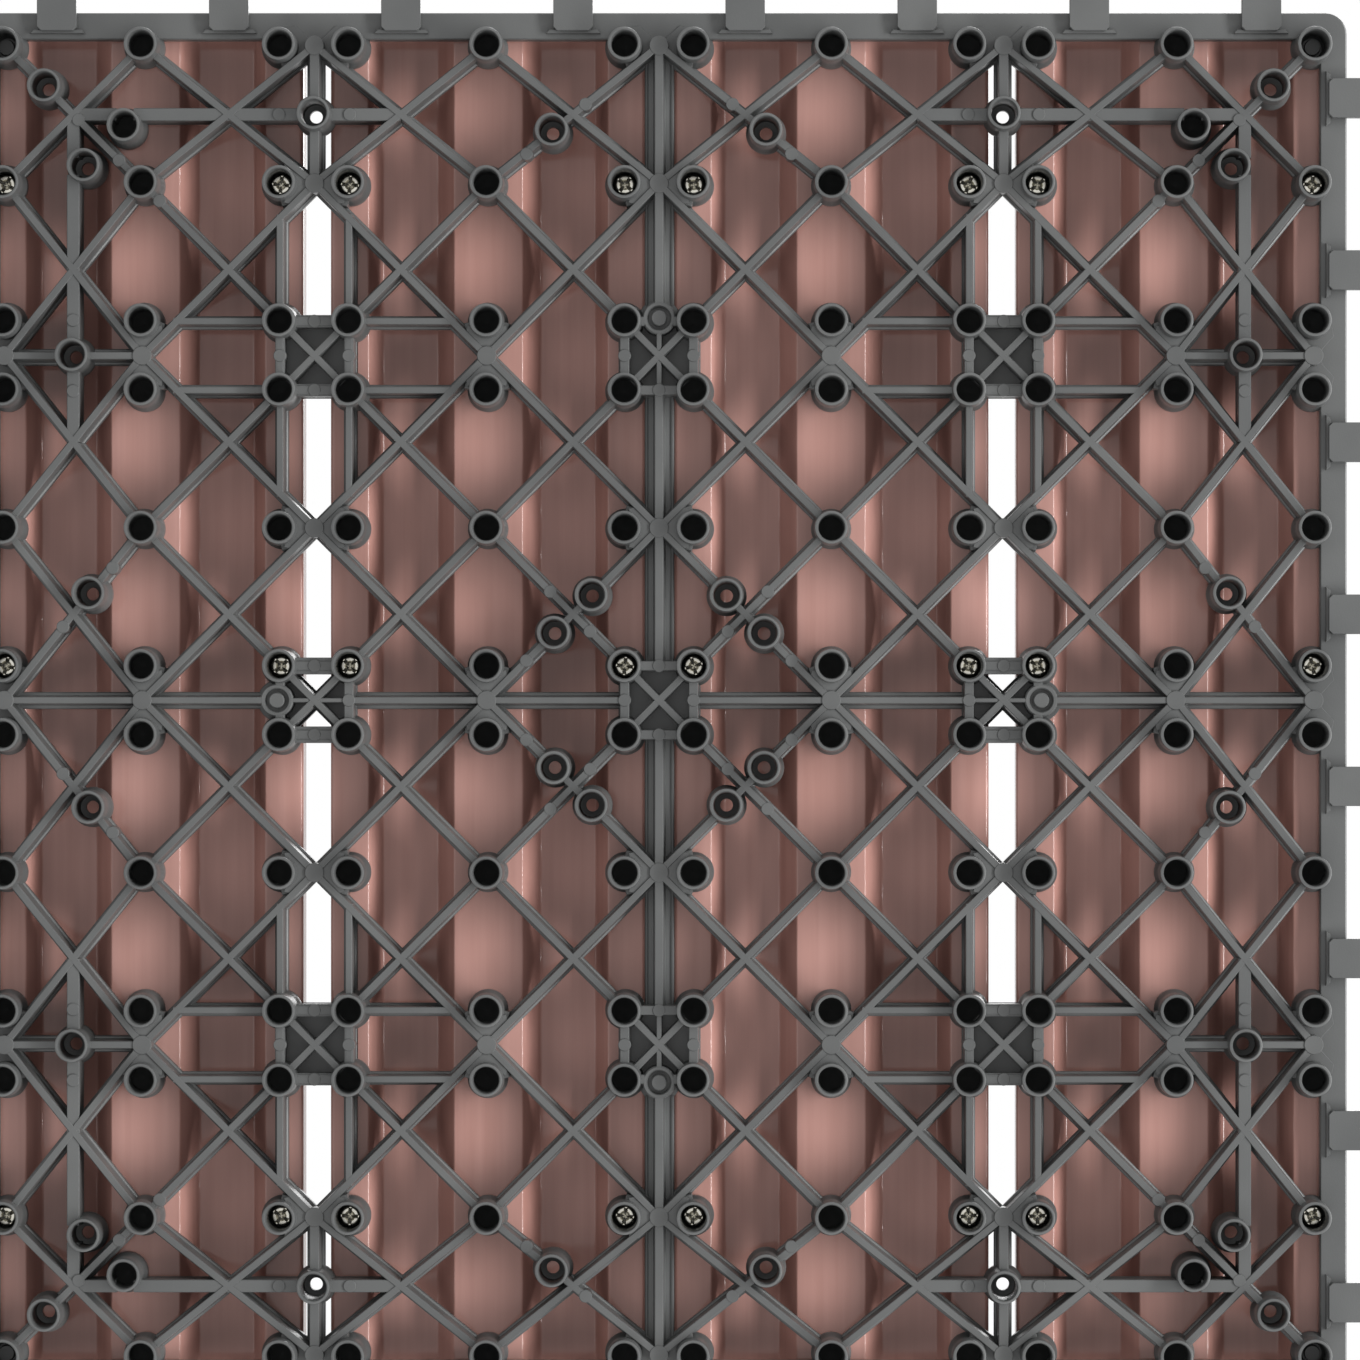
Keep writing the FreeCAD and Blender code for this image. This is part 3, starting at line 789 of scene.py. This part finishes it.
def board_material(number):
    """Terracotta wood composite, with fine streaks drawn along the board by its extrusion."""
    material, nodes, links, shader = new_material(f"board_composite_{number}")
    place = nodes.new("ShaderNodeTexCoord").outputs["Object"]
    stretch = nodes.new("ShaderNodeMapping")
    stretch.inputs["Location"].default_value = (number * 0.37, number * 0.11, 0)
    stretch.inputs["Scale"].default_value = (1, 0.03, 1)
    links.new(place, stretch.inputs["Vector"])
    streak = noise(nodes, links, stretch.outputs["Vector"], 420, 6)
    cloud = noise(nodes, links, place, 18, 4)
    share = nodes.new("ShaderNodeMath")
    share.operation = "MULTIPLY"
    share.inputs[1].default_value = 0.55
    links.new(cloud, share.inputs[0])
    blend = nodes.new("ShaderNodeMath")
    blend.operation = "MULTIPLY_ADD"
    blend.inputs[1].default_value = 0.45
    links.new(streak, blend.inputs[0])
    links.new(share.outputs[0], blend.inputs[2])
    stops = [(0.25, (0.27, 0.134, 0.11)), (0.75, (0.38, 0.208, 0.18))]
    tinted(nodes, links, shader, blend.outputs[0], stops)
    bumped(nodes, links, shader, streak, 0.25, 0.0003)
    roughened(nodes, links, shader, streak, 0.36, 0.5)
    shader.inputs["Specular IOR Level"].default_value = 0.1
    shader.inputs["Coat Weight"].default_value = 0.6
    shader.inputs["Coat Roughness"].default_value = 0.1
    return material


def steel_material():
    """Zinc-plated steel with a faint warm tint, cloudy where the plating varies."""
    material, nodes, links, shader = new_material("screw_steel")
    cloud = noise(nodes, links, nodes.new("ShaderNodeTexCoord").outputs["Object"], 900, 4)
    tinted(nodes, links, shader, cloud, [(0.3, (0.58, 0.56, 0.49)), (0.7, (0.74, 0.72, 0.65))])
    roughened(nodes, links, shader, cloud, 0.16, 0.28)
    shader.inputs["Metallic"].default_value = 1
    return material


plastic = plastic_material()


def grid_piece(gather, name, smooth_angle):
    return gather.made(name, plastic, "grid_plastic", ["base_grid"], smooth_angle)


grid_piece(grid_ribs(), "grid_ribs", 25)
grid_piece(grid_feet(), "grid_feet", 40)
cut_bores(grid_piece(grid_rim(), "grid_rim", 20))
grid_piece(grid_plates(), "grid_plates", 30)
grid_piece(grid_nodes(), "grid_nodes", 30)
grid_piece(grid_marks(), "grid_marks", 30)
grid_piece(grid_joints(), "grid_joints", 30)

steel = steel_material()
for number in range(1, 5):
    board_centre = (2 * number - 5) * PITCH
    board(number, board_centre)
    screws(number, board_centre, steel)


def area_light(name, place, length, width, power):
    """A soft light aimed at the middle of the object."""
    data = bpy.data.lights.new(name, "AREA")
    data.shape = "RECTANGLE"
    data.size = length
    data.size_y = width
    data.energy = power
    light = bpy.data.objects.new(name, data)
    bpy.context.collection.objects.link(light)
    light.location = place
    light.rotation_euler = (-Vector(place)).to_track_quat("-Z", "Y").to_euler()


def floor():
    """A pale floor that is seen from above only, so the underside can be looked at from below."""
    mesh = bpy.data.meshes.new("floor")
    reach, level = 12, -0.0005
    corners = [(-reach, -reach), (reach, -reach), (reach, reach), (-reach, reach)]
    mesh.from_pydata([(x, y, level) for x, y in corners], [], [(0, 1, 2, 3)])
    piece = bpy.data.objects.new("floor", mesh)
    bpy.context.collection.objects.link(piece)
    material, nodes, links, shader = new_material("floor")
    shader.inputs["Base Color"].default_value = (0.8, 0.8, 0.79, 1)
    shader.inputs["Roughness"].default_value = 0.8
    facing = nodes.new("ShaderNodeNewGeometry")
    clear = nodes.new("ShaderNodeBsdfTransparent")
    either = nodes.new("ShaderNodeMixShader")
    links.new(facing.outputs["Backfacing"], either.inputs["Fac"])
    links.new(shader.outputs["BSDF"], either.inputs[1])
    links.new(clear.outputs["BSDF"], either.inputs[2])
    links.new(either.outputs["Shader"], nodes["Material Output"].inputs["Surface"])
    mesh.materials.append(material)
    piece.visible_shadow = False
    piece.visible_glossy = False
    piece.visible_diffuse = False


def world():
    """White behind the object, and a soft even light on it."""
    made = bpy.data.worlds.new("studio")
    bpy.context.scene.world = made
    made.use_nodes = True
    nodes, links = made.node_tree.nodes, made.node_tree.links
    ambient = nodes["Background"]
    ambient.inputs["Color"].default_value = (1, 1, 1, 1)
    ambient.inputs["Strength"].default_value = 0.54
    white = nodes.new("ShaderNodeBackground")
    white.inputs["Color"].default_value = (1, 1, 1, 1)
    white.inputs["Strength"].default_value = 1.0
    path = nodes.new("ShaderNodeLightPath")
    seen = path.outputs["Is Camera Ray"]
    for ray in ("Is Glossy Ray", "Is Transmission Ray"):
        joined = nodes.new("ShaderNodeMath")
        joined.operation = "MAXIMUM"
        links.new(seen, joined.inputs[0])
        links.new(path.outputs[ray], joined.inputs[1])
        seen = joined.outputs[0]
    either = nodes.new("ShaderNodeMixShader")
    links.new(seen, either.inputs["Fac"])
    links.new(ambient.outputs["Background"], either.inputs[1])
    links.new(white.outputs["Background"], either.inputs[2])
    links.new(either.outputs["Shader"], nodes["World Output"].inputs["Surface"])


def camera():
    """Straight up at the underside, with the photograph's framing."""
    image = 1360
    scale = 4.609
    centre = (658.5, 700)
    vanishing = (800, 770)
    distance = 1400
    data = bpy.data.cameras.new("camera")
    data.sensor_width = 36
    data.lens = 36 * scale * distance / image
    data.shift_x = (image / 2 - vanishing[0]) / image
    data.shift_y = (vanishing[1] - image / 2) / image
    data.clip_start = 0.01
    view = bpy.data.objects.new("camera", data)
    bpy.context.collection.objects.link(view)
    x, y = ((v - c) / scale for v, c in zip(vanishing, centre))
    view.location = (x * MM, y * MM, -distance * MM)
    view.rotation_euler = (math.pi, 0, 0)
    bpy.context.scene.camera = view


floor()
world()
area_light("below_right", (1.6, 0.1, -1.05), 2.6, 0.35, 76)
area_light("below_left", (-1.1, -0.1, -1.1), 0.8, 0.8, 2)
area_light("below_back", (0.05, -1.1, -1.1), 0.8, 0.8, 3)
area_light("below_front", (-0.05, 1.1, -1.1), 0.8, 0.8, 5)
area_light("above", (0.5, -0.8, 1.6), 1.2, 1.2, 25)
camera()
bpy.context.scene.view_settings.view_transform = "Standard"
